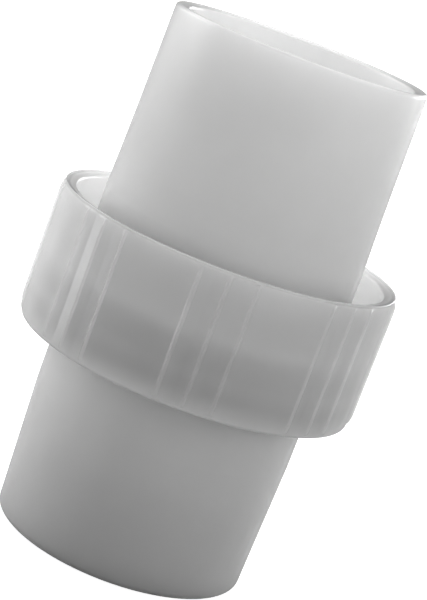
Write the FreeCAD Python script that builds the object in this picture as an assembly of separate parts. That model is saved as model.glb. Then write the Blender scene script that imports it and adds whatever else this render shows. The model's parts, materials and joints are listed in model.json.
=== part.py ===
"""One-way valve with two 22 mm spigots, as separate mouldings, seals and spring.

Millimetres, +Z up. The origin is the centre of the outlet rim, and the valve's axis is Z.
Flow goes down: in at the upper spigot, past the poppet, out at the lower spigot.
"""

import math
import os

import FreeCAD
import Part

# Outside of the valve, from the outlet rim up
OUTLET_LENGTH = 16.3
COLLAR_HEIGHT = 11.4
INLET_LENGTH = 16.2
COLLAR_TOP = OUTLET_LENGTH + COLLAR_HEIGHT
TOTAL_HEIGHT = COLLAR_TOP + INLET_LENGTH

# Spigots: a short straight land at the root, then a slight taper to the lip
SPIGOT_RADIUS = 11.0
OUTLET_LIP_RADIUS = 10.63
OUTLET_LAND = 5.0
INLET_LAND = 0.6
INLET_MID_RADIUS = 10.78
INLET_MID_HEIGHT = 35.0
INLET_LIP_RADIUS = 10.6
MOUTH_RADIUS = 9.5
POCKET_RADIUS = 9.2
OUTLET_MOUTH_DEPTH = 7.8
LIP_OUTER_ROUND = 0.5
LIP_INNER_ROUND = 0.3

# Collar: an open cup on the outlet body, with groups of thin upright ribs
COLLAR_RADIUS = 14.2
CUP_RADIUS = 13.1
CUP_RIM_RADIUS = 13.2
CUP_FLOOR = 1.4
CHAMBER_FLOOR = OUTLET_LENGTH + CUP_FLOOR
RIM_OUTER_ROUND = 0.55
RIM_INNER_ROUND = 0.35
COLLAR_BASE_ROUND = 0.6
RIB_GROUPS = 8
RIB_FIRST_ANGLE = 4.0
RIB_PITCH_ANGLE = 9.1
RIB_CREST_RADIUS = 14.48
RIB_CREST_HALF_WIDTH = 0.07
RIB_WAIST_RADIUS = 14.27
RIB_WAIST_HALF_WIDTH = 0.25
RIB_FOOT_RADIUS = 14.1
RIB_FOOT_HALF_WIDTH = 0.8
RIB_TOP_GAP = 0.85
RIB_BASE_GAP = 0.6

# Inlet body's flange, which clicks under a bead in the cup
FLANGE_RADIUS = 12.95
FLANGE_THICKNESS = 1.5
SNAP_BEAD_RADIUS = 12.85
SNAP_BEAD_HEIGHT = 1.0

# Stack in the chamber: gasket, sleeve's flange, inlet flange
GASKET_THICKNESS = 0.9
GASKET_INNER_RADIUS = 9.9
GASKET_OUTER_RADIUS = 12.8
SLEEVE_FLANGE = 1.6
SLEEVE_FLANGE_BOTTOM = CHAMBER_FLOOR + GASKET_THICKNESS
INLET_BOTTOM = SLEEVE_FLANGE_BOTTOM + SLEEVE_FLANGE
FLANGE_TOP = INLET_BOTTOM + FLANGE_THICKNESS

# Cartridge sleeve and its seat
SLEEVE_RADIUS = 9.0
SLEEVE_FLANGE_RADIUS = 12.85
SLEEVE_BOTTOM = 14.4
SLEEVE_TOP = 27.3
CAVITY_RADIUS = 7.8
SEAT_HEIGHT = 23.8
THROAT_RADIUS = 5.6
THROAT_TOP = 25.0
BELL_RADIUS = 8.4
RING_GROOVE_BOTTOM = 24.0
RING_GROOVE_HEIGHT = 1.1
RING_GROOVE_RADIUS = 8.3
CLIP_GROOVE_RADIUS = 8.05

# Guide spider, clipped into the sleeve's lower end
SPIDER_BOTTOM = 14.95
SPIDER_RIM_HEIGHT = 1.4
SPIDER_RIM_OUTER = 7.75
SPIDER_RIM_INNER = 6.9
SPIDER_BEAD_RADIUS = 8.0
SPIDER_DECK = 1.05
SPOKE_COUNT = 3
SPOKE_WIDTH = 1.4
SPRING_SEAT_RADIUS = 3.9
HUB_RADIUS = 2.5
HUB_BOTTOM = 13.2
HUB_TOP = 17.48

# Poppet, seal ring and cap, at rest against the seat
TRAVEL = 3.2
STEM_WIDTH = 2.6
STEM_CLEARANCE = 0.05
STEM_BOTTOM = 11.4
STEM_CORNER = 0.3
DISC_BOTTOM = 21.5
DISC_TOP = 22.9
DISC_RADIUS = 6.3
BOSS_RADIUS = 2.5
BOSS_BOTTOM = HUB_TOP + TRAVEL + 0.02
SHOULDER_RADIUS = 4.0
SHOULDER_TOP = 23.75
POST_RADIUS = 1.75
POST_TOP = 25.1
SEAL_OUTER_RADIUS = 6.5
SEAL_INNER_RADIUS = 4.02
SEAL_TOP = SEAT_HEIGHT - 0.01
CAP_RADIUS = 5.0
CAP_TOP = 26.3
CAP_SOCKET_RADIUS = 1.8

# Closing spring
SPRING_WIRE = 0.32
SPRING_RADIUS = 3.15
SPRING_TURNS = 4.5
SPRING_END_GAP = 0.02

AXIS = FreeCAD.Vector(0, 0, 1)
ORIGIN = FreeCAD.Vector(0, 0, 0)


def point(radius, height):
    """A point of a turned outline, in the XZ plane."""
    return FreeCAD.Vector(radius, 0, height)


def rounded_outline(corners):
    """A closed wire through (radius, height, rounding) corners, with tangent arcs at the rounded ones."""
    places = [point(r, z) for r, z, _ in corners]
    starts = []
    ends = []
    middles = []
    for i, here in enumerate(places):
        rounding = corners[i][2]
        back = (places[i - 1] - here).normalize()
        ahead = (places[(i + 1) % len(places)] - here).normalize()
        half = back.getAngle(ahead) / 2
        reach = rounding / math.tan(half)
        starts.append(here + back * reach)
        ends.append(here + ahead * reach)
        inward = (back + ahead).normalize()
        middles.append(here + inward * (rounding / math.sin(half) - rounding))
    edges = []
    for i, (_, _, rounding) in enumerate(corners):
        if rounding > 0:
            edges.append(Part.Arc(starts[i], middles[i], ends[i]).toShape())
        following = starts[(i + 1) % len(corners)]
        if ends[i].distanceToPoint(following) > 1e-6:
            edges.append(Part.LineSegment(ends[i], following).toShape())
    return Part.Wire(edges)


def turned(corners):
    """The solid that a rounded outline sweeps in a full turn about the axis."""
    return Part.Face(rounded_outline(corners)).revolve(ORIGIN, AXIS, 360)


def square_bar(width, bottom, top, corner=0.0):
    """An upright square bar on the axis, with its long edges chamfered by corner."""
    half = width / 2
    bar = Part.makeBox(width, width, top - bottom, FreeCAD.Vector(-half, -half, bottom))
    if corner > 0:
        long_edges = [e for e in bar.Edges if abs(e.tangentAt(e.FirstParameter).z) > 0.9]
        bar = bar.makeChamfer(corner, long_edges)
    return bar


def rib(angle):
    """One grip rib: a narrow crest with hollow flanks, its foot sunk in the collar's wall."""
    feet = []
    waists = []
    crests = []
    for side in (-1, 1):
        feet.append(FreeCAD.Vector(side * RIB_FOOT_HALF_WIDTH, -RIB_FOOT_RADIUS, 0))
        waists.append(FreeCAD.Vector(side * RIB_WAIST_HALF_WIDTH, -RIB_WAIST_RADIUS, 0))
        crests.append(FreeCAD.Vector(side * RIB_CREST_HALF_WIDTH, -RIB_CREST_RADIUS, 0))
    section = Part.Wire([
        Part.LineSegment(feet[0], feet[1]).toShape(),
        Part.Arc(feet[1], waists[1], crests[1]).toShape(),
        Part.LineSegment(crests[1], crests[0]).toShape(),
        Part.Arc(crests[0], waists[0], feet[0]).toShape(),
    ])
    bottom = OUTLET_LENGTH + RIB_BASE_GAP
    bar = Part.Face(section).extrude(AXIS * (COLLAR_TOP - RIB_TOP_GAP - bottom))
    bar.translate(AXIS * bottom)
    bar.rotate(ORIGIN, AXIS, angle)
    return bar


def rib_angles():
    """The angles of all ribs: groups evenly round the collar, three ribs in each."""
    angles = []
    for group in range(RIB_GROUPS):
        middle = RIB_FIRST_ANGLE + group * 360 / RIB_GROUPS
        angles.extend([middle - RIB_PITCH_ANGLE, middle, middle + RIB_PITCH_ANGLE])
    return angles


def outlet_body():
    """Lower spigot, cup floor and ribbed collar, with the bead that holds the inlet flange."""
    bead = FLANGE_TOP + 0.05
    shell = turned([
        (MOUTH_RADIUS, 0, LIP_INNER_ROUND),
        (OUTLET_LIP_RADIUS, 0, LIP_OUTER_ROUND),
        (SPIGOT_RADIUS, OUTLET_LENGTH - OUTLET_LAND, 0),
        (SPIGOT_RADIUS, OUTLET_LENGTH, 0.25),
        (COLLAR_RADIUS, OUTLET_LENGTH, COLLAR_BASE_ROUND),
        (COLLAR_RADIUS, COLLAR_TOP, RIM_OUTER_ROUND),
        (CUP_RIM_RADIUS, COLLAR_TOP, RIM_INNER_ROUND),
        (CUP_RADIUS, bead + SNAP_BEAD_HEIGHT, 0),
        (SNAP_BEAD_RADIUS, bead + 0.7 * SNAP_BEAD_HEIGHT, 0),
        (SNAP_BEAD_RADIUS, bead + 0.3 * SNAP_BEAD_HEIGHT, 0),
        (CUP_RADIUS, bead, 0),
        (CUP_RADIUS, CHAMBER_FLOOR, 0.2),
        (POCKET_RADIUS + 0.4, CHAMBER_FLOOR, 0),
        (POCKET_RADIUS, CHAMBER_FLOOR - 0.4, 0),
        (POCKET_RADIUS, OUTLET_MOUTH_DEPTH + 0.3, 0),
        (MOUTH_RADIUS, OUTLET_MOUTH_DEPTH, 0),
    ])
    return shell.fuse([rib(angle) for angle in rib_angles()]).removeSplitter()


def inlet_body():
    """Upper spigot with the flange at its root, standing on the sleeve's flange."""
    mouth_bottom = SLEEVE_TOP + 0.9
    return turned([
        (POCKET_RADIUS + 0.3, INLET_BOTTOM, 0),
        (FLANGE_RADIUS - 0.2, INLET_BOTTOM, 0),
        (FLANGE_RADIUS, INLET_BOTTOM + 0.3, 0),
        (FLANGE_RADIUS, FLANGE_TOP, 0.2),
        (SPIGOT_RADIUS, FLANGE_TOP, 0.4),
        (SPIGOT_RADIUS, COLLAR_TOP + INLET_LAND, 0),
        (INLET_MID_RADIUS, INLET_MID_HEIGHT, 0),
        (INLET_LIP_RADIUS, TOTAL_HEIGHT, LIP_OUTER_ROUND),
        (MOUTH_RADIUS, TOTAL_HEIGHT, LIP_INNER_ROUND),
        (MOUTH_RADIUS, mouth_bottom, 0),
        (POCKET_RADIUS, mouth_bottom - 0.3, 0),
        (POCKET_RADIUS, INLET_BOTTOM + 0.3, 0),
    ])


def flange_gasket():
    """Flat sealing ring on the cup's floor."""
    top = SLEEVE_FLANGE_BOTTOM
    return turned([
        (GASKET_INNER_RADIUS, CHAMBER_FLOOR, 0.15),
        (GASKET_OUTER_RADIUS, CHAMBER_FLOOR, 0.15),
        (GASKET_OUTER_RADIUS, top, 0.15),
        (GASKET_INNER_RADIUS, top, 0.15),
    ])


def cartridge_sleeve():
    """Sleeve with the seat web, bell mouth, outer ring groove, clamping flange and clip groove."""
    groove_top = RING_GROOVE_BOTTOM + RING_GROOVE_HEIGHT
    clip_bottom = SPIDER_BOTTOM + 0.15
    clip_top = SPIDER_BOTTOM + SPIDER_RIM_HEIGHT - 0.15
    return turned([
        (CAVITY_RADIUS, SLEEVE_BOTTOM, 0.2),
        (SLEEVE_RADIUS, SLEEVE_BOTTOM, 0.4),
        (SLEEVE_RADIUS, SLEEVE_FLANGE_BOTTOM, 0),
        (SLEEVE_FLANGE_RADIUS, SLEEVE_FLANGE_BOTTOM, 0.2),
        (SLEEVE_FLANGE_RADIUS, INLET_BOTTOM, 0.2),
        (SLEEVE_RADIUS, INLET_BOTTOM, 0),
        (SLEEVE_RADIUS, RING_GROOVE_BOTTOM, 0),
        (RING_GROOVE_RADIUS, RING_GROOVE_BOTTOM, 0),
        (RING_GROOVE_RADIUS, groove_top, 0),
        (SLEEVE_RADIUS, groove_top, 0),
        (SLEEVE_RADIUS, SLEEVE_TOP, 0.3),
        (BELL_RADIUS, SLEEVE_TOP, 0.15),
        (THROAT_RADIUS, THROAT_TOP, 2.5),
        (THROAT_RADIUS, SEAT_HEIGHT, 0.1),
        (CAVITY_RADIUS, SEAT_HEIGHT, 0.3),
        (CAVITY_RADIUS, clip_top + 0.15, 0),
        (CLIP_GROOVE_RADIUS, clip_top, 0),
        (CLIP_GROOVE_RADIUS, clip_bottom, 0),
        (CAVITY_RADIUS, clip_bottom - 0.15, 0),
    ])


def cartridge_o_ring():
    """Rubber ring in the sleeve's groove, squeezed to a flat-sided section by the inlet bore."""
    bottom = RING_GROOVE_BOTTOM + 0.05
    top = RING_GROOVE_BOTTOM + RING_GROOVE_HEIGHT - 0.05
    inner = RING_GROOVE_RADIUS + 0.01
    outer = POCKET_RADIUS - 0.01
    return turned([
        (inner, bottom, 0.36),
        (outer, bottom, 0.36),
        (outer, top, 0.36),
        (inner, top, 0.36),
    ])


def guide_spider():
    """Rim, spokes, spring seat and hub, with a square hole for the stem."""
    deck_top = SPIDER_BOTTOM + SPIDER_DECK
    rim_top = SPIDER_BOTTOM + SPIDER_RIM_HEIGHT
    rim = turned([
        (SPIDER_RIM_INNER, SPIDER_BOTTOM, 0.2),
        (SPIDER_RIM_OUTER, SPIDER_BOTTOM, 0),
        (SPIDER_BEAD_RADIUS, SPIDER_BOTTOM + 0.25, 0),
        (SPIDER_BEAD_RADIUS, rim_top - 0.25, 0),
        (SPIDER_RIM_OUTER, rim_top, 0),
        (SPIDER_RIM_INNER, rim_top, 0.2),
    ])
    hub = turned([
        (0, HUB_BOTTOM, 0),
        (HUB_RADIUS, HUB_BOTTOM, 0.3),
        (HUB_RADIUS, SPIDER_BOTTOM, 0),
        (SPRING_SEAT_RADIUS, SPIDER_BOTTOM, 0.2),
        (SPRING_SEAT_RADIUS, deck_top, 0.1),
        (HUB_RADIUS, deck_top, 0),
        (HUB_RADIUS, HUB_TOP, 0.2),
        (0, HUB_TOP, 0),
    ])
    spokes = []
    for i in range(SPOKE_COUNT):
        length = (SPIDER_RIM_INNER + SPIDER_RIM_OUTER) / 2
        corner = FreeCAD.Vector(0, -SPOKE_WIDTH / 2, SPIDER_BOTTOM)
        spoke = Part.makeBox(length, SPOKE_WIDTH, SPIDER_DECK, corner)
        spoke.rotate(ORIGIN, AXIS, 90 + i * 360 / SPOKE_COUNT)
        spokes.append(spoke)
    hole = square_bar(STEM_WIDTH + 2 * STEM_CLEARANCE, HUB_BOTTOM - 1, HUB_TOP + 1)
    return hub.fuse([rim] + spokes).cut(hole).removeSplitter()


def poppet():
    """Disc with the seal's shoulder and the cap's post above, and the boss and square stem below."""
    disc = turned([
        (0, BOSS_BOTTOM, 0),
        (BOSS_RADIUS, BOSS_BOTTOM, 0.2),
        (BOSS_RADIUS, DISC_BOTTOM, 0),
        (DISC_RADIUS, DISC_BOTTOM, 0.5),
        (DISC_RADIUS, DISC_TOP, 0.1),
        (SHOULDER_RADIUS, DISC_TOP, 0),
        (SHOULDER_RADIUS, SHOULDER_TOP, 0),
        (POST_RADIUS, SHOULDER_TOP, 0),
        (POST_RADIUS, POST_TOP, 0.3),
        (0, POST_TOP, 0),
    ])
    stem = square_bar(STEM_WIDTH, STEM_BOTTOM, DISC_TOP, STEM_CORNER)
    return disc.fuse(stem).removeSplitter()


def poppet_seal():
    """Soft ring round the poppet's shoulder, which closes on the seat web."""
    return turned([
        (SEAL_INNER_RADIUS, DISC_TOP, 0),
        (SEAL_OUTER_RADIUS, DISC_TOP, 0.25),
        (SEAL_OUTER_RADIUS, SEAL_TOP, 0.25),
        (CAP_RADIUS + 0.1, SEAL_TOP, 0.05),
        (CAP_RADIUS + 0.1, SHOULDER_TOP - 0.01, 0),
        (SEAL_INNER_RADIUS, SHOULDER_TOP - 0.01, 0),
    ])


def seal_cap():
    """Domed nose on the poppet's post, which holds the seal ring down."""
    cap = turned([
        (0, SHOULDER_TOP, 0),
        (CAP_RADIUS, SHOULDER_TOP, 0.15),
        (CAP_RADIUS - 0.15, SHOULDER_TOP + 0.8, 0.6),
        (CAP_RADIUS - 2.2, CAP_TOP - 0.35, 1.8),
        (0, CAP_TOP, 0),
    ])
    depth = POST_TOP + 0.05 - SHOULDER_TOP
    return cap.cut(Part.makeCylinder(CAP_SOCKET_RADIUS, depth, point(0, SHOULDER_TOP), AXIS))


def closing_spring():
    """Round-wire compression spring between the spider's seat and the poppet."""
    inset = SPRING_WIRE / 2 + SPRING_END_GAP
    bottom = SPIDER_BOTTOM + SPIDER_DECK + inset
    height = DISC_BOTTOM - inset - bottom
    path = Part.makeHelix(height / SPRING_TURNS, height, SPRING_RADIUS)
    path.translate(FreeCAD.Vector(0, 0, bottom))
    start = FreeCAD.Vector(SPRING_RADIUS, 0, bottom)
    rise = height / SPRING_TURNS / (2 * math.pi)
    along = FreeCAD.Vector(0, SPRING_RADIUS, rise)
    section = Part.Wire(Part.makeCircle(SPRING_WIRE / 2, start, along))
    return Part.Wire(path.Edges).makePipeShell([section], True, True)


PIECES = {
    "inlet_body": inlet_body,
    "outlet_body": outlet_body,
    "flange_gasket": flange_gasket,
    "cartridge_sleeve": cartridge_sleeve,
    "cartridge_o_ring": cartridge_o_ring,
    "guide_spider": guide_spider,
    "poppet": poppet,
    "poppet_seal": poppet_seal,
    "seal_cap": seal_cap,
    "closing_spring": closing_spring,
}

os.makedirs("parts", exist_ok=True)
for name, make in PIECES.items():
    shape = make()
    solid = shape.Solids[0]
    low = shape.BoundBox.ZMin
    high = shape.BoundBox.ZMax
    state = "valid" if shape.isValid() else "not valid"
    print(f"{name}: {len(shape.Solids)} solid, {state}, {solid.Volume:.1f} mm3, z {low:.2f} to {high:.2f}")
    shape.exportStep(f"parts/{name}.step")
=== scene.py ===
"""Looks of the check valve: milky moulded plastic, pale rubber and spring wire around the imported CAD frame.

Shapes are worked out in millimetres and stored in metres, +Z up, with the origin at the centre of the outlet
rim. Angles round the axis are in degrees, 0 towards the camera (-Y) and positive towards +X.
"""

import json
import math

import bpy
from mathutils import Matrix, Vector


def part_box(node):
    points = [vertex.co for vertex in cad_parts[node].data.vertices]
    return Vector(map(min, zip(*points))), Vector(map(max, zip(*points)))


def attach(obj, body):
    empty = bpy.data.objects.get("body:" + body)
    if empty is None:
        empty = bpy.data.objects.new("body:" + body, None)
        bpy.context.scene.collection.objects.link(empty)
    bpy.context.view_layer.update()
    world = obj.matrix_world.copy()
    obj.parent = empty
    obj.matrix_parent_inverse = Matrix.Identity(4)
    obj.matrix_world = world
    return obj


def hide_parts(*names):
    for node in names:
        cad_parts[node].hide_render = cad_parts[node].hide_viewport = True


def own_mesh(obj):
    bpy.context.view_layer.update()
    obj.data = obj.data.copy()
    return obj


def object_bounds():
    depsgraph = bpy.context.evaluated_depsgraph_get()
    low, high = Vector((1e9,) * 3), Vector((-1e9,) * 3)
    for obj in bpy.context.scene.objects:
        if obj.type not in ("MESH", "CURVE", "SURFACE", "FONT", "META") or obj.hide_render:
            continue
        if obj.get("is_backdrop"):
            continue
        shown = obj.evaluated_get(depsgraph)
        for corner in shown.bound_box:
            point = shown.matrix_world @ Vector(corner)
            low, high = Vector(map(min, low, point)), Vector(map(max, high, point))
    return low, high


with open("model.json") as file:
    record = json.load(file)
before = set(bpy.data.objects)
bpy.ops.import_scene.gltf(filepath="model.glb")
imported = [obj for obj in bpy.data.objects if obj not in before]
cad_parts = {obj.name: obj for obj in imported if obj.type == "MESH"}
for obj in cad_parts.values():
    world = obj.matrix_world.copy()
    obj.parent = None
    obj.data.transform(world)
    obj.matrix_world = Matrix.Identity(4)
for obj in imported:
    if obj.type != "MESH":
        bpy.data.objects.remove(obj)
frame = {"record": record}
cad_low, cad_high = (Vector(corner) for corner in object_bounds())

MM = 0.001
MOUNTS = {mount["name"]: mount for mount in frame["record"]["mounts"]}


def extent(node):
    """A CAD node's lowest and highest corners, in millimetres."""
    low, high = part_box(node)
    return Vector(low) / MM, Vector(high) / MM


# Camera: a long lens close by, tipped down and rolled so that the valve leans to the right
CAMERA_PLACE = (0.0, -0.14601, 0.05431)
CAMERA_YAW = -0.164
CAMERA_PITCH = -12.44
CAMERA_ROLL = 20.66
CAMERA_LENS = 109.73
CAMERA_NEAR = 0.005
CAMERA_FAR = 10

# Studio panels: (angle round the axis, elevation, distance in metres, width and height in degrees as seen
# from the valve, radiance). The two strips stand low and near, where the collar's upright wall mirrors them.
PANELS = {
    "key_low": (-97.5, 9, 0.6, 25, 18, 4.6),
    "strip_left": (-93, -11.3, 0.0714, 24, 12.6, 2.0),
    "strip_back_left": (-134, -11.3, 0.0714, 40, 12.6, 0.5),
    "key_high": (-97.5, 31, 0.6, 25, 27, 2.1),
    "back_left": (-125, 22, 0.6, 30, 44, 2.3),
    "back_right": (148, 9, 0.6, 40, 18, 5.2),
    "edge_right": (118, 9, 0.6, 20, 18, 1.2),
    "side_right": (97, 22, 0.6, 25, 44, 0.6),
    "fill_right": (62, 26, 0.6, 45, 27, 2.0),
    "fill_front": (-20, 20, 0.6, 60, 40, 0.8),
}

# Sky: a soft patch of light, with its edge and its core given as cosines of the angle from its middle
SKY_TOWARDS = (0.0, 0.45, 0.89)
SKY_EDGE = 0.7
SKY_CORE = 0.88
SKY_BRIGHT = 1.5
AIR_DIM = 0.02

# Seen by the camera alone: the backdrop's strength, and what lifts the floor to white
BACKDROP = 1.1
FLOOR_LIFT = 0.85
FLOOR_HALF = 1.5

# Lowest and highest corners of the CAD nodes, from the frame
INLET_LOW, INLET_HIGH = extent("inlet_body")
OUTLET_LOW, OUTLET_HIGH = extent("outlet_body")
GASKET_LOW, GASKET_HIGH = extent("flange_gasket")
SLEEVE_LOW, SLEEVE_HIGH = extent("cartridge_sleeve")
RING_LOW, RING_HIGH = extent("cartridge_o_ring")
SPIDER_LOW, SPIDER_HIGH = extent("guide_spider")
POPPET_LOW, POPPET_HIGH = extent("poppet")
SEAL_LOW, SEAL_HIGH = extent("poppet_seal")
CAP_LOW, CAP_HIGH = extent("seal_cap")
SPRING_LOW, SPRING_HIGH = extent("closing_spring")

# Spigots: the tapers are (radius, height) points between the full radius and the lip
SPIGOT = MOUNTS["inlet_spigot"]["dims"]["r_mm"]
MOUTH = MOUNTS["inlet_bore"]["dims"]["r_mm"]
OUTLET_LIP = 10.63
OUTLET_TAPER = (10.86, 7.0)
OUTLET_LAND = 5.0
OUTLET_MOUTH_DEPTH = 7.8
INLET_LAND = 0.6
INLET_TAPER = ((10.87, 31.3), (10.77, 35.0))
INLET_LIP = 10.6
POCKET = 9.2

# Collar, with the cup inside it and the flange that the cup holds. The rim and the lip slope down inwards.
COLLAR = 14.2
CUP = 13.1
CUP_FLOOR = GASKET_LOW.z
CUP_FLOOR_THICKNESS = 1.4
COLLAR_UNDERSIDE = CUP_FLOOR - CUP_FLOOR_THICKNESS
RIM_SLOPE = 0.25
RIM_FLARE = 0.1
FLANGE_THICKNESS = 1.5
FLANGE_TOP = INLET_LOW.z + FLANGE_THICKNESS
FLANGE_PLAY = 0.05
SNAP_BEAD = 0.25
SNAP_BEAD_HEIGHT = 1.0
SNAP_BEAD_SLOPE = 0.3

# Ribs on the collar: groups of three ridges with straight flanks. Along each crest runs a fine bead, which
# is round to where it slopes by BEAD_TILT and straight from there.
RIB_GROUPS = 8
RIB_FIRST_ANGLE = 4.0
RIB_PITCH_ANGLE = 9.1
RIB_HEIGHT = OUTLET_HIGH.x - COLLAR
BEAD_ROUND = 0.15
BEAD_TILT = math.radians(46)
BEAD_CREST = BEAD_ROUND * math.sin(BEAD_TILT)
BEAD_SIDE = 0.08
BEAD_HALF = BEAD_CREST + BEAD_SIDE
BEAD_HEIGHT = BEAD_ROUND * (1 - math.cos(BEAD_TILT)) + BEAD_SIDE * math.tan(BEAD_TILT)
RIB_FLANK = math.radians(RIB_PITCH_ANGLE / 2) * COLLAR
RIB_TOP_GAP = 0.25
RIB_TOP = OUTLET_HIGH.z - RIB_TOP_GAP
RIB_BASE_GAP = 0.35
RIB_BOTTOM = COLLAR_UNDERSIDE + RIB_BASE_GAP
RIB_FADE = 1.1

# Points of the ribbed wall: steps over half of a bead's round, degrees down a flank, shares of the fade at a
# rib's end, degrees between the plain columns and from a rib to them, and how near the wall counts as on it
BEAD_STEPS = 4
RIB_FLANK_COLUMNS = (1.3, 2.1, 3.1, 4.0, RIB_PITCH_ANGLE / 2)
RIB_FADE_STEPS = (0, 0.05, 0.15, 0.3, 0.5, 0.75, 1.0)
COLLAR_COLUMN_STEP = 2.5
COLLAR_COLUMN_GAP = 0.6
ON_WALL = 0.02

# Inside: sleeve, O-ring groove and seat
CAVITY = 7.8
SLEEVE_OUTER = 9.0
SEAT = 23.8
THROAT = 5.6
THROAT_TOP = 25.0
BELL = 8.4
BELL_ROUND = 2.5
RING_GROOVE = 8.3
RING_PLAY = 0.05
RING_CLEAR = 0.01
CLIP_BEAD = 0.25
CLIP_GAP = 0.15

# Inside: spider
HUB = 2.5
HUB_BELOW_DECK = 1.75
DECK_THICKNESS = 1.05
DECK_BOTTOM = SPIDER_LOW.z + HUB_BELOW_DECK
DECK_TOP = DECK_BOTTOM + DECK_THICKNESS
SPIDER_RIM_HEIGHT = 1.4
SPIDER_RIM_TOP = DECK_BOTTOM + SPIDER_RIM_HEIGHT
SPIDER_RIM_INNER = 6.9
SPIDER_RIM_OUTER = SPIDER_HIGH.x - CLIP_BEAD
SPRING_SEAT = 3.9
SPOKES = 3
SPOKE_WIDTH = 1.4
SPOKE_DRAFT = 0.15
HOLE_HALF = 1.35

# Inside: poppet, its seal and its cap
STEM_HALF = 1.3
STEM_CORNER = 0.3
DISC_THICKNESS = 1.4
DISC_BOTTOM = SEAL_LOW.z - DISC_THICKNESS
BOSS_HEIGHT = 0.8
BOSS_BOTTOM = DISC_BOTTOM - BOSS_HEIGHT
SHOULDER = 4.0
SHOULDER_TOP = CAP_LOW.z
POST = 1.75
SEAL_INNER = 4.02
SEAL_LIP_GAP = 0.1
SEAL_CLEAR = 0.01
SOCKET = 1.8
SOCKET_GAP = 0.05

# Spring: closed dead turns at both ends, open turns between. The ends are ground to GROUND_END of the wire's
# radius from its middle, and a dead turn rises by DEAD_PITCH of it.
SPRING_TURNS = 6.0
SPRING_DEAD_TURNS = 0.9
SPRING_OPENING_TURNS = 0.5
SPRING_STEPS = 48
SPRING_SIDES = 14
SPRING_START = 90
WIRE = 0.16
GROUND_END = 0.7
DEAD_PITCH = 2.05
SPRING_MIDDLE = SPRING_HIGH.x - WIRE

# Body plastic: painted shade and painted light in its colour. It goes towards a painted shade grey on the
# collar's outside and a painted light grey on the upper spigot. A zone is (start height, end height, share at
# the start, share at the end). The painted shade zones are the collar's foot, rim, top edge and low edge, and
# add up. The painted light zones start above the flange and end past the cup's mouth, and multiply. A skin is
# a zone by radius, which tells the wall from the rest.
PAINTED_SHADE_GREY = 0.4
PAINTED_SHADE_ZONES = (
    (CUP_FLOOR - 0.2, CUP_FLOOR + 2.0, 0.6, 0),
    (OUTLET_HIGH.z - 5.5, OUTLET_HIGH.z - 1, 0, 0.35),
    (OUTLET_HIGH.z - 0.3, OUTLET_HIGH.z - 0.12, 0, 0.55),
    (COLLAR_UNDERSIDE + 0.12, COLLAR_UNDERSIDE + 0.3, 0.3, 0),
)
COLLAR_SKIN = (COLLAR - 0.5, COLLAR - 0.25, 0, 1)
# Painted light: the light grey towards which the upper spigot's root is painted
PAINTED_LIGHT_GREY = 0.95
PAINTED_LIGHT_ZONES = (
    (FLANGE_TOP, FLANGE_TOP + 2, 0, 1),
    (OUTLET_HIGH.z - 0.5, OUTLET_HIGH.z + 3.5, 0.5, 0),
)
SPIGOT_SKIN = (SPIGOT + 0.2, SPIGOT + 0.4, 1, 0)

# Meshes: angle between the points of an arc, the radius below which a point is on the axis, distance of the
# points beside a corner, and the usual distance between points on a long run
ARC_STEP = math.radians(9)
AXIS_RADIUS = 1e-6
CORNER_SUPPORT = 0.1
RUN_STEP = 0.9
COLLAR_RUN_STEP = 2.2


# Mesh building

def polar(radius, angle, height):
    """A point at a radius, an angle in degrees and a height."""
    turn = math.radians(angle)
    return Vector((radius * math.sin(turn), -radius * math.cos(turn), height))


def corner_arc(here, back, ahead, rounding):
    """Points along the arc that rounds a corner between two unit directions."""
    if rounding == 0:
        return [here]
    half = back.angle(ahead) / 2
    reach = rounding / math.tan(half)
    centre = here + (back + ahead).normalized() * rounding / math.sin(half)
    start = here + back * reach - centre
    end = here + ahead * reach - centre
    first = math.atan2(start.y, start.x)
    sweep = (math.atan2(end.y, end.x) - first + math.pi) % (2 * math.pi) - math.pi
    steps = max(3, math.ceil(abs(sweep) / ARC_STEP))
    turns = [first + sweep * k / steps for k in range(steps + 1)]
    return [centre + Vector((math.cos(t), math.sin(t))) * rounding for t in turns]


def rounded(corners, run_step):
    """Points (r, z) round a closed outline of (r, z, rounding) corners, with more along its long runs."""
    places = [Vector((r, z)) for r, z, _ in corners]
    arcs = []
    for i, here in enumerate(places):
        back = (places[i - 1] - here).normalized()
        ahead = (places[(i + 1) % len(places)] - here).normalized()
        arcs.append(corner_arc(here, back, ahead, corners[i][2]))
    outline = []
    for i, arc in enumerate(arcs):
        following = arcs[(i + 1) % len(arcs)][0]
        outline.extend(arc)
        gap = following - arc[-1]
        on_axis = max(arc[-1].x, following.x) < AXIS_RADIUS
        if gap.length > 4 * CORNER_SUPPORT and not on_axis:
            support = gap.normalized() * CORNER_SUPPORT
            runs = max(1, round(gap.length / run_step))
            outline.append(arc[-1] + support)
            outline.extend(arc[-1] + gap * k / runs for k in range(1, runs))
            outline.append(following - support)
    return outline


def new_piece(name, vertices, faces, sharp_angle=35):
    """A smooth-shaded mesh object from millimetre points, whose edges stay crisp above sharp_angle."""
    mesh = bpy.data.meshes.new(name)
    mesh.from_pydata([Vector(v) * MM for v in vertices], [], faces)
    mesh.validate()
    mesh.shade_smooth()
    mesh.set_sharp_from_angle(angle=math.radians(sharp_angle))
    piece = bpy.data.objects.new(name, mesh)
    bpy.context.scene.collection.objects.link(piece)
    return piece


def even_columns(count):
    """Angles evenly round the axis."""
    return [360 * k / count for k in range(count)]


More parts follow.
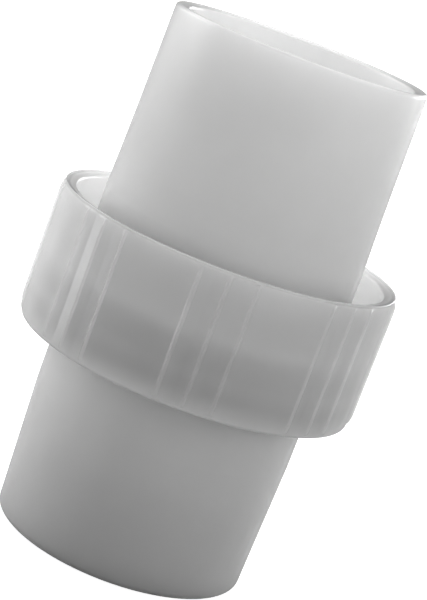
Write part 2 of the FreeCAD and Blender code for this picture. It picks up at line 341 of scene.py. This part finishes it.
def lathe(name, corners, columns, swell=None, run_step=RUN_STEP):
    """A closed turned solid of rounded corners. swell(radius, angle, height) adds to the radius."""
    vertices = []
    rings = []
    for r, z in rounded(corners, run_step):
        if r < AXIS_RADIUS:
            rings.append([len(vertices)] * len(columns))
            vertices.append((0, 0, z))
            continue
        rings.append(list(range(len(vertices), len(vertices) + len(columns))))
        for angle in columns:
            extra = swell(r, angle, z) if swell else 0
            vertices.append(polar(r + extra, angle, z))
    faces = []
    for i, ring in enumerate(rings):
        other = rings[(i + 1) % len(rings)]
        for k in range(len(columns)):
            n = (k + 1) % len(columns)
            face = list(dict.fromkeys([ring[k], ring[n], other[n], other[k]]))
            if len(face) > 2:
                faces.append(face)
    return new_piece(name, vertices, faces)


def prism(name, section, levels):
    """A closed upright bar: a section's (x, y) points at each (height, scale) level, the lowest first."""
    vertices = [(x * scale, y * scale, z) for z, scale in levels for x, y in section]
    count = len(section)
    faces = [list(range(count))[::-1]]
    for level in range(len(levels) - 1):
        for k in range(count):
            n = (k + 1) % count
            low = level * count
            faces.append([low + k, low + n, low + count + n, low + count + k])
    top = (len(levels) - 1) * count
    faces.append(list(range(top, top + count)))
    return new_piece(name, vertices, faces)


def chamfered_square(half, corner):
    """The points of a square whose corners are cut off, counterclockwise."""
    near = half - corner
    return [(half, -near), (half, near), (near, half), (-near, half),
            (-half, near), (-half, -near), (-near, -half), (near, -half)]


def bake(piece):
    """Applies a piece's modifiers to its mesh."""
    bpy.context.view_layer.update()
    result = bpy.data.meshes.new_from_object(piece.evaluated_get(bpy.context.evaluated_depsgraph_get()))
    piece.modifiers.clear()
    piece.data = result


def combined(piece, others, operation="UNION"):
    """Unites the other solids with a piece, or cuts them from it, and drops the others."""
    for other in others:
        step = piece.modifiers.new(other.name, "BOOLEAN")
        step.operation = operation
        step.solver = "EXACT"
        step.object = other
    bake(piece)
    for other in others:
        bpy.data.objects.remove(other)


def soften_edges(piece, width, angle=38):
    """Rounds a piece's crisp edges by width."""
    step = piece.modifiers.new("edge_rounds", "BEVEL")
    step.width = width * MM
    step.segments = 2
    step.limit_method = "ANGLE"
    step.angle_limit = math.radians(angle)
    step.use_clamp_overlap = True
    bake(piece)
    piece.data.shade_smooth()
    piece.data.set_sharp_from_angle(angle=math.radians(angle))


# Housing

def rib_angles():
    """The angles of all ribs."""
    middles = [RIB_FIRST_ANGLE + group * 360 / RIB_GROUPS for group in range(RIB_GROUPS)]
    return [middle + k * RIB_PITCH_ANGLE for middle in middles for k in (-1, 0, 1)]


RIB_ANGLES = rib_angles()


def from_rib(angle):
    """Degrees from an angle to the nearest rib's crest."""
    return min(abs((angle - middle + 180) % 360 - 180) for middle in RIB_ANGLES)


def rib_columns():
    """Angles from a rib's crest to its columns of points, over the bead's round and side, then the flank."""
    crest = [BEAD_CREST * k / BEAD_STEPS for k in range(BEAD_STEPS + 1)]
    side = [BEAD_CREST + BEAD_SIDE / 2, BEAD_HALF]
    return [math.degrees(across / COLLAR) for across in crest + side] + list(RIB_FLANK_COLUMNS)


def collar_columns():
    """Angles round the outlet body, closer together over each rib."""
    aways = rib_columns()
    plain = [COLLAR_COLUMN_STEP * k for k in range(round(360 / COLLAR_COLUMN_STEP))]
    angles = {angle for angle in plain if from_rib(angle) > aways[-1] + COLLAR_COLUMN_GAP}
    for middle in RIB_ANGLES:
        for away in aways:
            angles |= {round((middle + away) % 360, 3), round((middle - away) % 360, 3)}
    return sorted(angles)


def rib_swell(radius, angle, height):
    """How far the collar's wall stands out over the ribs."""
    if abs(radius - COLLAR) > ON_WALL:
        return 0
    across = math.radians(from_rib(angle)) * COLLAR
    flank = (RIB_HEIGHT - BEAD_HEIGHT) * max(0, 1 - across / RIB_FLANK)
    if across < BEAD_CREST:
        bead = BEAD_HEIGHT - BEAD_ROUND + math.sqrt(BEAD_ROUND ** 2 - across ** 2)
    else:
        bead = max(0, BEAD_HALF - across) * math.tan(BEAD_TILT)
    inward = min(max(min(RIB_TOP - height, height - RIB_BOTTOM) / RIB_FADE, 0), 1)
    return (flank + bead) * math.sqrt(1 - (1 - inward) ** 2)


def rib_end_rings():
    """Outline points up the collar's wall, closer together at the ends of the ribs."""
    steps = [RIB_FADE * k for k in RIB_FADE_STEPS]
    heights = [RIB_BOTTOM + step for step in steps] + [RIB_TOP - step for step in reversed(steps)]
    return [(COLLAR, height, 0) for height in heights]


def outlet_body():
    """Lower spigot, cup floor and ribbed collar, with the bead that holds the inlet flange."""
    bead_low = FLANGE_TOP + FLANGE_PLAY
    bead_high = bead_low + SNAP_BEAD_HEIGHT
    bead_radius = CUP - SNAP_BEAD
    lead_in = 0.4
    return lathe("outlet_body_moulding", [
        (MOUTH, OUTLET_LOW.z, 0.3),
        (OUTLET_LIP, OUTLET_LOW.z, 0.5),
        (*OUTLET_TAPER, 0),
        (SPIGOT, COLLAR_UNDERSIDE - OUTLET_LAND, 0),
        (SPIGOT, COLLAR_UNDERSIDE, 0.25),
        (COLLAR, COLLAR_UNDERSIDE, 0.3),
        *rib_end_rings(),
        (COLLAR, OUTLET_HIGH.z, 0.06),
        (CUP + RIM_FLARE, OUTLET_HIGH.z - RIM_SLOPE, 0.2),
        (CUP, bead_high, 0),
        (bead_radius, bead_high - SNAP_BEAD_SLOPE, 0),
        (bead_radius, bead_low + SNAP_BEAD_SLOPE, 0),
        (CUP, bead_low, 0),
        (CUP, CUP_FLOOR, 0.2),
        (POCKET + lead_in, CUP_FLOOR, 0),
        (POCKET, CUP_FLOOR - lead_in, 0),
        (POCKET, OUTLET_MOUTH_DEPTH + MOUTH - POCKET, 0),
        (MOUTH, OUTLET_MOUTH_DEPTH, 0),
    ], collar_columns(), rib_swell, COLLAR_RUN_STEP)


def inlet_body():
    """Upper spigot with the flange at its root."""
    headroom = 0.9
    shoulder = SLEEVE_HIGH.z + headroom
    lead_in = 0.3
    return lathe("inlet_body_moulding", [
        (POCKET + lead_in, INLET_LOW.z, 0),
        (INLET_HIGH.x - 0.2, INLET_LOW.z, 0),
        (INLET_HIGH.x, INLET_LOW.z + 0.3, 0),
        (INLET_HIGH.x, FLANGE_TOP, 0.2),
        (SPIGOT, FLANGE_TOP, 0.4),
        (SPIGOT, OUTLET_HIGH.z + INLET_LAND, 0),
        *[(radius, height, 0) for radius, height in INLET_TAPER],
        (INLET_LIP, INLET_HIGH.z, 0.3),
        (MOUTH, INLET_HIGH.z - RIM_SLOPE, 0.2),
        (MOUTH, shoulder, 0),
        (POCKET, shoulder + POCKET - MOUTH, 0),
        (POCKET, INLET_LOW.z + lead_in, 0),
    ], even_columns(240))


def flange_gasket():
    """Flat sealing ring on the cup's floor, with a raised bead on each face."""
    inner = 9.9
    outer = GASKET_HIGH.x
    middle = (inner + outer) / 2
    bead = 0.1
    face = [
        (inner, bead, 0.12),
        (middle - 0.5, bead, 0.1),
        (middle - 0.3, 0, 0.1),
        (middle + 0.3, 0, 0.1),
        (middle + 0.5, bead, 0.1),
        (outer, bead, 0.12),
    ]
    low_face = [(radius, GASKET_LOW.z + depth, rounding) for radius, depth, rounding in face]
    high_face = [(radius, GASKET_HIGH.z - depth, rounding) for radius, depth, rounding in reversed(face)]
    return lathe("flange_gasket_ring", low_face + high_face, even_columns(180))


# Cartridge

def cartridge_sleeve():
    """Sleeve with the seat web, bell mouth, ring groove, clamping flange and clip groove."""
    groove_low = RING_LOW.z - RING_PLAY
    groove_high = RING_HIGH.z + RING_PLAY
    clip_groove = CAVITY + CLIP_BEAD
    return lathe("cartridge_sleeve_moulding", [
        (CAVITY, SLEEVE_LOW.z, 0.2),
        (SLEEVE_OUTER, SLEEVE_LOW.z, 0.4),
        (SLEEVE_OUTER, GASKET_HIGH.z, 0.05),
        (SLEEVE_HIGH.x, GASKET_HIGH.z, 0.2),
        (SLEEVE_HIGH.x, INLET_LOW.z, 0.2),
        (SLEEVE_OUTER, INLET_LOW.z, 0.1),
        (SLEEVE_OUTER, groove_low, 0.08),
        (RING_GROOVE, groove_low, 0.08),
        (RING_GROOVE, groove_high, 0.08),
        (SLEEVE_OUTER, groove_high, 0.08),
        (SLEEVE_OUTER, SLEEVE_HIGH.z, 0.3),
        (BELL, SLEEVE_HIGH.z, 0.15),
        (THROAT, THROAT_TOP, BELL_ROUND),
        (THROAT, SEAT, 0.1),
        (CAVITY, SEAT, 0.3),
        (CAVITY, SPIDER_RIM_TOP, 0.05),
        (clip_groove, SPIDER_RIM_TOP - CLIP_GAP, 0.05),
        (clip_groove, DECK_BOTTOM + CLIP_GAP, 0.05),
        (CAVITY, DECK_BOTTOM, 0.05),
    ], even_columns(200))


def cartridge_o_ring():
    """Rubber ring in the sleeve's groove, flattened by the bore around it."""
    inner = RING_GROOVE + RING_CLEAR
    outer = RING_HIGH.x
    rounding = 0.36
    return lathe("cartridge_o_ring_loop", [
        (inner, RING_LOW.z, rounding),
        (outer, RING_LOW.z, rounding),
        (outer, RING_HIGH.z, rounding),
        (inner, RING_HIGH.z, rounding),
    ], even_columns(180))


def spoke(turn):
    """One spoke of the spider, from inside the hub to inside the rim, narrower along its top."""
    near = HUB * 0.7
    far = (SPIDER_RIM_INNER + SPIDER_RIM_OUTER) / 2
    half = SPOKE_WIDTH / 2
    section = [(near, -half), (far, -half), (far, half), (near, half)]
    beam = prism("spoke", section, [(DECK_BOTTOM, 1.0), (DECK_TOP, 1.0)])
    middle = (DECK_BOTTOM + DECK_TOP) / 2
    for vertex in beam.data.vertices:
        if vertex.co.z > middle * MM:
            vertex.co.y -= math.copysign(SPOKE_DRAFT * MM, vertex.co.y)
    beam.data.transform(Matrix.Rotation(math.radians(turn), 4, "Z"))
    return beam


def guide_spider():
    """Rim, spokes, spring seat and hub, with a square hole for the stem."""
    hub = lathe("guide_spider_moulding", [
        (0, SPIDER_LOW.z, 0),
        (HUB, SPIDER_LOW.z, 0.3),
        (HUB, DECK_BOTTOM, 0.1),
        (SPRING_SEAT, DECK_BOTTOM, 0.2),
        (SPRING_SEAT, DECK_TOP, 0.1),
        (HUB, DECK_TOP, 0.1),
        (HUB, SPIDER_HIGH.z, 0.2),
        (0, SPIDER_HIGH.z, 0),
    ], even_columns(96))
    rim = lathe("spider_rim", [
        (SPIDER_RIM_INNER, DECK_BOTTOM, 0.2),
        (SPIDER_RIM_OUTER, DECK_BOTTOM, 0),
        (SPIDER_HIGH.x, DECK_BOTTOM + CLIP_BEAD, 0.08),
        (SPIDER_HIGH.x, SPIDER_RIM_TOP - CLIP_BEAD, 0.08),
        (SPIDER_RIM_OUTER, SPIDER_RIM_TOP, 0),
        (SPIDER_RIM_INNER, SPIDER_RIM_TOP, 0.2),
    ], even_columns(180))
    combined(hub, [rim] + [spoke(90 + k * 360 / SPOKES) for k in range(SPOKES)])
    through = [(SPIDER_LOW.z - 1, 1.0), (SPIDER_HIGH.z + 1, 1.0)]
    hole = prism("stem_hole", chamfered_square(HOLE_HALF, 0.05), through)
    combined(hub, [hole], "DIFFERENCE")
    soften_edges(hub, 0.07)
    return hub


def poppet():
    """Disc with the seal's shoulder and the cap's post above, and the boss and square stem below."""
    disc = lathe("poppet_moulding", [
        (0, BOSS_BOTTOM, 0),
        (HUB, BOSS_BOTTOM, 0.2),
        (HUB, DISC_BOTTOM, 0.15),
        (POPPET_HIGH.x, DISC_BOTTOM, 0.5),
        (POPPET_HIGH.x, SEAL_LOW.z, 0.1),
        (SHOULDER, SEAL_LOW.z, 0.05),
        (SHOULDER, SHOULDER_TOP, 0.05),
        (POST, SHOULDER_TOP, 0.1),
        (POST, POPPET_HIGH.z, 0.3),
        (0, POPPET_HIGH.z, 0),
    ], even_columns(128))
    foot = POPPET_LOW.z
    tapered_foot = [(foot, 0.7), (foot + 0.45, 1.0), (DISC_BOTTOM + 0.5, 1.0)]
    stem = prism("poppet_stem", chamfered_square(STEM_HALF, STEM_CORNER), tapered_foot)
    combined(disc, [stem])
    soften_edges(disc, 0.05)
    return disc


def poppet_seal():
    """Soft ring round the poppet's shoulder, with a rim that stands up past the cap to meet the seat."""
    cap_edge = CAP_HIGH.x + SEAL_LIP_GAP
    under_cap = SHOULDER_TOP - SEAL_CLEAR
    return lathe("poppet_seal_ring", [
        (SEAL_INNER, SEAL_LOW.z, 0.1),
        (SEAL_HIGH.x, SEAL_LOW.z, 0.25),
        (SEAL_HIGH.x, SEAL_HIGH.z, 0.25),
        (cap_edge, SEAL_HIGH.z, 0.02),
        (cap_edge, under_cap, 0),
        (SEAL_INNER, under_cap, 0.1),
    ], even_columns(160))


def seal_cap():
    """Domed nose on the poppet's post, which holds the seal ring down."""
    socket_top = POPPET_HIGH.z + SOCKET_GAP
    return lathe("seal_cap_moulding", [
        (0, socket_top, 0),
        (SOCKET, socket_top, 0.1),
        (SOCKET, SHOULDER_TOP, 0.1),
        (CAP_HIGH.x, SHOULDER_TOP, 0.15),
        (CAP_HIGH.x - 0.15, SHOULDER_TOP + 0.8, 0.6),
        (CAP_HIGH.x - 2.2, CAP_HIGH.z - 0.35, 1.8),
        (0, CAP_HIGH.z, 0),
    ], even_columns(128))


def spring_path():
    """Points along the spring's wire: flat dead turns at the ends, evenly open turns between."""
    steps = round(SPRING_TURNS * SPRING_STEPS)
    rates = []
    for k in range(steps):
        turn = k / SPRING_STEPS
        depth = min(turn, SPRING_TURNS - turn) - SPRING_DEAD_TURNS
        opening = min(max(depth / SPRING_OPENING_TURNS, 0), 1)
        rates.append(opening * opening * (3 - 2 * opening))
    dead_rise = DEAD_PITCH * WIRE / SPRING_STEPS
    height = SPRING_LOW.z + GROUND_END * WIRE
    rise = SPRING_HIGH.z - GROUND_END * WIRE - height
    open_rise = (rise - dead_rise * steps) / sum(rates)
    points = [polar(SPRING_MIDDLE, SPRING_START, height)]
    for k in range(steps):
        height += dead_rise + open_rise * rates[k]
        points.append(polar(SPRING_MIDDLE, SPRING_START + 360 * (k + 1) / SPRING_STEPS, height))
    return points


def closing_spring():
    """Round-wire compression spring with ground ends, and a UV map that runs along the wire."""
    path = spring_path()
    vertices = []
    for k, place in enumerate(path):
        along = (path[min(k + 1, len(path) - 1)] - path[max(k - 1, 0)]).normalized()
        outward = Vector((place.x, place.y, 0)).normalized()
        across = along.cross(outward)
        for side in range(SPRING_SIDES):
            turn = 2 * math.pi * side / SPRING_SIDES
            vertex = place + (outward * math.cos(turn) + across * math.sin(turn)) * WIRE
            vertex.z = min(max(vertex.z, SPRING_LOW.z), SPRING_HIGH.z)
            vertices.append(vertex)
    faces = [list(range(SPRING_SIDES))]
    for k in range(len(path) - 1):
        for side in range(SPRING_SIDES):
            n = (side + 1) % SPRING_SIDES
            low = k * SPRING_SIDES
            faces.append([low + n, low + side, low + SPRING_SIDES + side, low + SPRING_SIDES + n])
    last = (len(path) - 1) * SPRING_SIDES
    faces.append(list(range(last, last + SPRING_SIDES))[::-1])
    spring = new_piece("closing_spring_coil", vertices, faces)
    layer = spring.data.uv_layers.new(name="along_wire")
    for loop in spring.data.loops:
        step, side = divmod(loop.vertex_index, SPRING_SIDES)
        layer.data[loop.index].uv = (step / SPRING_STEPS, side / SPRING_SIDES)
    return spring


# Materials

def grey(value):
    """A neutral colour."""
    return (value, value, value)


def nodes_of(name):
    """A new node material: (material, its node tree, its Principled shader)."""
    material = bpy.data.materials.new(name)
    material.use_nodes = True
    tree = material.node_tree
    return material, tree, tree.nodes["Principled BSDF"]


def noise(tree, scale, detail=3.0, coordinates="Object", stretch=None):
    """A noise texture in the object's own metres, or along a stretched UV map."""
    place = tree.nodes.new("ShaderNodeTexCoord").outputs[coordinates]
    if stretch:
        mapping = tree.nodes.new("ShaderNodeMapping")
        mapping.inputs["Scale"].default_value = stretch
        tree.links.new(place, mapping.inputs["Vector"])
        place = mapping.outputs["Vector"]
    texture = tree.nodes.new("ShaderNodeTexNoise")
    texture.inputs["Scale"].default_value = scale
    texture.inputs["Detail"].default_value = detail
    tree.links.new(place, texture.inputs["Vector"])
    return texture.outputs["Fac"]


def spread(tree, value, low, high):
    """A node output remapped from 0..1 to low..high."""
    remap = tree.nodes.new("ShaderNodeMapRange")
    remap.inputs["To Min"].default_value = low
    remap.inputs["To Max"].default_value = high
    tree.links.new(value, remap.inputs["Value"])
    return remap.outputs["Result"]


def bumped(tree, shader, height, distance, strength=1.0):
    """Bump on a shader from a height output."""
    bump = tree.nodes.new("ShaderNodeBump")
    bump.inputs["Strength"].default_value = strength
    bump.inputs["Distance"].default_value = distance
    tree.links.new(height, bump.inputs["Height"])
    tree.links.new(bump.outputs["Normal"], shader.inputs["Normal"])


def mixed(tree, factor, first, second):
    """A colour that goes from a first one, a colour or a node output, to a second, by a node output."""
    mix = tree.nodes.new("ShaderNodeMix")
    mix.data_type = "RGBA"
    if isinstance(first, tuple):
        mix.inputs["A"].default_value = (*first, 1)
    else:
        tree.links.new(first, mix.inputs["A"])
    mix.inputs["B"].default_value = (*second, 1)
    tree.links.new(factor, mix.inputs["Factor"])
    return mix.outputs["Result"]


def between(tree, value, start, end, low, high):
    """A node output remapped smoothly from start..end to low..high."""
    remap = tree.nodes.new("ShaderNodeMapRange")
    remap.interpolation_type = "SMOOTHSTEP"
    remap.inputs["From Min"].default_value = start
    remap.inputs["From Max"].default_value = end
    remap.inputs["To Min"].default_value = low
    remap.inputs["To Max"].default_value = high
    tree.links.new(value, remap.inputs["Value"])
    return remap.outputs["Result"]


def arithmetic(tree, operation, first, second):
    """Two node outputs put together by a Math node's operation."""
    node = tree.nodes.new("ShaderNodeMath")
    node.operation = operation
    tree.links.new(first, node.inputs[0])
    tree.links.new(second, node.inputs[1])
    return node.outputs["Value"]


def height_and_radius(tree):
    """A surface point's height and its distance from the axis, in metres."""
    place = tree.nodes.new("ShaderNodeTexCoord").outputs["Object"]
    split = tree.nodes.new("ShaderNodeSeparateXYZ")
    tree.links.new(place, split.inputs["Vector"])
    flat = tree.nodes.new("ShaderNodeVectorMath")
    flat.operation = "MULTIPLY"
    flat.inputs[1].default_value = (1, 1, 0)
    tree.links.new(place, flat.inputs[0])
    reach = tree.nodes.new("ShaderNodeVectorMath")
    reach.operation = "LENGTH"
    tree.links.new(flat.outputs["Vector"], reach.inputs[0])
    return split.outputs["Z"], reach.outputs["Value"]


def gathered(tree, operation, parts):
    """Several node outputs put together by a Math node's operation."""
    total = parts[0]
    for part in parts[1:]:
        total = arithmetic(tree, operation, total, part)
    return total


def zone(tree, metres, start, end, low, high):
    """A node output in metres remapped smoothly from start..end in millimetres to low..high."""
    return between(tree, metres, start * MM, end * MM, low, high)


def painted_shade_and_light_shares(tree):
    """How far the body plastic goes towards its painted shade grey, and how far towards its painted light
    grey.
    """
    height, radius = height_and_radius(tree)
    painted_shade = gathered(tree, "ADD", [zone(tree, height, *settings) for settings in PAINTED_SHADE_ZONES])
    # milky is the share of painted light on the upper spigot's root
    milky = gathered(tree, "MULTIPLY", [zone(tree, height, *settings) for settings in PAINTED_LIGHT_ZONES])
    collar = zone(tree, radius, *COLLAR_SKIN)
    spigot = zone(tree, radius, *SPIGOT_SKIN)
    return arithmetic(tree, "MULTIPLY", collar, painted_shade), arithmetic(tree, "MULTIPLY", spigot, milky)


def milky_plastic(name, dark, light, depth, roughness, with_painted_shade_and_light=False):
    """Natural moulded plastic: cloudy, satin, and light soaks through it over depth metres.

    Where asked, painted shade darkens the collar's outside and painted light brightens the upper spigot's
    root.
    """
    material, tree, shader = nodes_of(name)
    cloud = noise(tree, scale=140, detail=4)
    grain = noise(tree, scale=2600, detail=2)
    colour = mixed(tree, cloud, dark, light)
    if with_painted_shade_and_light:
        # Painted shade on the collar's outside and painted light on the upper spigot's root
        painted_shade, milky = painted_shade_and_light_shares(tree)
        colour = mixed(tree, painted_shade, colour, grey(PAINTED_SHADE_GREY))
        colour = mixed(tree, milky, colour, grey(PAINTED_LIGHT_GREY))
    tree.links.new(colour, shader.inputs["Base Color"])
    tree.links.new(spread(tree, cloud, roughness - 0.05, roughness + 0.07), shader.inputs["Roughness"])
    shader.inputs["IOR"].default_value = 1.49
    shader.inputs["Subsurface Weight"].default_value = 1.0
    shader.inputs["Subsurface Radius"].default_value = (1, 1, 1)
    shader.inputs["Subsurface Scale"].default_value = depth
    bumped(tree, shader, grain, distance=0.00002, strength=0.2)
    return material


def silicone(name, dark, light):
    """Pale matt rubber with a fine dull skin."""
    material, tree, shader = nodes_of(name)
    cloud = noise(tree, scale=300)
    skin = noise(tree, scale=5000)
    tree.links.new(mixed(tree, cloud, dark, light), shader.inputs["Base Color"])
    tree.links.new(spread(tree, skin, 0.5, 0.7), shader.inputs["Roughness"])
    shader.inputs["Subsurface Weight"].default_value = 0.8
    shader.inputs["Subsurface Radius"].default_value = (1, 1, 1)
    shader.inputs["Subsurface Scale"].default_value = 0.0015
    bumped(tree, shader, skin, distance=0.00003, strength=0.5)
    return material


def drawn_steel(name):
    """Stainless spring wire with fine die lines along it."""
    material, tree, shader = nodes_of(name)
    lines = noise(tree, scale=10, coordinates="UV", stretch=(0.6, 9, 1))
    tree.links.new(mixed(tree, lines, (0.52, 0.53, 0.54), (0.68, 0.69, 0.7)), shader.inputs["Base Color"])
    tree.links.new(spread(tree, lines, 0.22, 0.4), shader.inputs["Roughness"])
    shader.inputs["Metallic"].default_value = 1.0
    bumped(tree, shader, lines, distance=0.00001, strength=0.4)
    return material


# Stage

def camera_ray(tree):
    """1 where the camera looks straight at a surface, else 0."""
    return tree.nodes.new("ShaderNodeLightPath").outputs["Is Camera Ray"]


def floor():
    """A wide pale floor at the height the valve stands on."""
    half = FLOOR_HALF
    corners = [(-half, -half, 0), (half, -half, 0), (half, half, 0), (-half, half, 0)]
    mesh = bpy.data.meshes.new("floor")
    mesh.from_pydata(corners, [], [(0, 1, 2, 3)])
    plane = bpy.data.objects.new("floor", mesh)
    bpy.context.scene.collection.objects.link(plane)
    plane.location.z = cad_low.z
    material, tree, shader = nodes_of("floor_acrylic")
    fleck = noise(tree, scale=300)
    tree.links.new(mixed(tree, fleck, grey(0.53), grey(0.57)), shader.inputs["Base Color"])
    shader.inputs["Roughness"].default_value = 0.9
    shader.inputs["Specular IOR Level"].default_value = 0.1
    shader.inputs["Emission Color"].default_value = (1, 1, 1, 1)
    tree.links.new(spread(tree, camera_ray(tree), 0, FLOOR_LIFT), shader.inputs["Emission Strength"])
    bumped(tree, shader, fleck, distance=0.0002, strength=0.2)
    mesh.materials.append(material)
    plane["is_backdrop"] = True


def panel(name, angle, elevation, distance, width, height, radiance):
    """A soft panel that faces the valve, lights it and isn't seen by the camera."""
    data = bpy.data.lights.new(name, "AREA")
    data.shape = "RECTANGLE"
    data.size = 2 * distance * math.tan(math.radians(width / 2))
    data.size_y = 2 * distance * math.tan(math.radians(height / 2))
    data.energy = math.pi * data.size * data.size_y * radiance
    light = bpy.data.objects.new(name, data)
    middle = (cad_low + cad_high) / 2
    reach = distance * math.cos(math.radians(elevation))
    away = polar(reach, angle, distance * math.sin(math.radians(elevation)))
    light.location = middle + away
    light.rotation_mode = "QUATERNION"
    light.rotation_quaternion = (-away).to_track_quat("-Z", "Y")
    light.visible_camera = False
    bpy.context.scene.collection.objects.link(light)


def air():
    """Studio air: a broad soft patch of light overhead and behind, and next to none elsewhere."""
    world = bpy.data.worlds.new("studio_air")
    world.use_nodes = True
    tree = world.node_tree
    place = tree.nodes.new("ShaderNodeTexCoord")
    towards = tree.nodes.new("ShaderNodeVectorMath")
    towards.operation = "DOT_PRODUCT"
    towards.inputs[1].default_value = SKY_TOWARDS
    tree.links.new(place.outputs["Generated"], towards.inputs[0])
    sky = between(tree, towards.outputs["Value"], SKY_EDGE, SKY_CORE, AIR_DIM, SKY_BRIGHT)
    seen = tree.nodes.new("ShaderNodeMix")
    seen.inputs["B"].default_value = BACKDROP
    tree.links.new(camera_ray(tree), seen.inputs["Factor"])
    tree.links.new(sky, seen.inputs["A"])
    backdrop = tree.nodes["Background"]
    backdrop.inputs["Color"].default_value = (1, 1, 1, 1)
    tree.links.new(seen.outputs["Result"], backdrop.inputs["Strength"])
    bpy.context.scene.world = world


def camera():
    """The camera at the viewing angle, rolled about its own line of sight."""
    data = bpy.data.cameras.new("camera")
    data.lens = CAMERA_LENS
    data.clip_start = CAMERA_NEAR
    data.clip_end = CAMERA_FAR
    eye = bpy.data.objects.new("camera", data)
    turned = Matrix.Rotation(math.radians(CAMERA_YAW), 4, "Z")
    tipped = Matrix.Rotation(math.radians(90 + CAMERA_PITCH), 4, "X")
    rolled = Matrix.Rotation(math.radians(CAMERA_ROLL), 4, "Z")
    eye.matrix_world = Matrix.Translation(CAMERA_PLACE) @ turned @ tipped @ rolled
    bpy.context.scene.collection.objects.link(eye)
    bpy.context.scene.camera = eye


# Put together

bpy.context.scene.view_settings.view_transform = "Standard"
camera()
floor()
air()
for name, settings in PANELS.items():
    panel(name, *settings)

# The body plastic carries painted shade on the collar's outside and painted light on the upper spigot's root
BODY_PLASTIC = milky_plastic(
    "milky_body_plastic", grey(0.665), grey(0.755), depth=0.008, roughness=0.18, with_painted_shade_and_light=True)
INSERT_PLASTIC = milky_plastic(
    "insert_plastic", (0.88, 0.88, 0.87), (0.91, 0.91, 0.90), depth=0.004, roughness=0.34)
PALE_RUBBER = silicone("pale_rubber", (0.82, 0.82, 0.81), (0.88, 0.88, 0.87))
SOFT_SEAL = silicone("soft_seal_rubber", (0.76, 0.76, 0.75), (0.83, 0.83, 0.82))
SPRING_STEEL = drawn_steel("spring_steel")

# Piece, CAD node that it stands for, body, finish slot and material
PIECES = [
    (outlet_body, "outlet_body", "housing", "natural_body", BODY_PLASTIC),
    (inlet_body, "inlet_body", "housing", "natural_body", BODY_PLASTIC),
    (flange_gasket, "flange_gasket", "housing", "seal_rubber", PALE_RUBBER),
    (cartridge_sleeve, "cartridge_sleeve", "housing", "natural_insert", INSERT_PLASTIC),
    (cartridge_o_ring, "cartridge_o_ring", "housing", "seal_rubber", PALE_RUBBER),
    (guide_spider, "guide_spider", "housing", "natural_insert", INSERT_PLASTIC),
    (poppet, "poppet", "poppet", "natural_insert", INSERT_PLASTIC),
    (poppet_seal, "poppet_seal", "poppet", "soft_seal", SOFT_SEAL),
    (seal_cap, "seal_cap", "poppet", "natural_insert", INSERT_PLASTIC),
    (closing_spring, "closing_spring", "housing", "spring_wire", SPRING_STEEL),
]
for make, node, body, slot, material in PIECES:
    piece = make()
    piece.data.materials.append(material)
    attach(piece, body)
    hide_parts(node)
    if node == "closing_spring":
        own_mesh(piece)
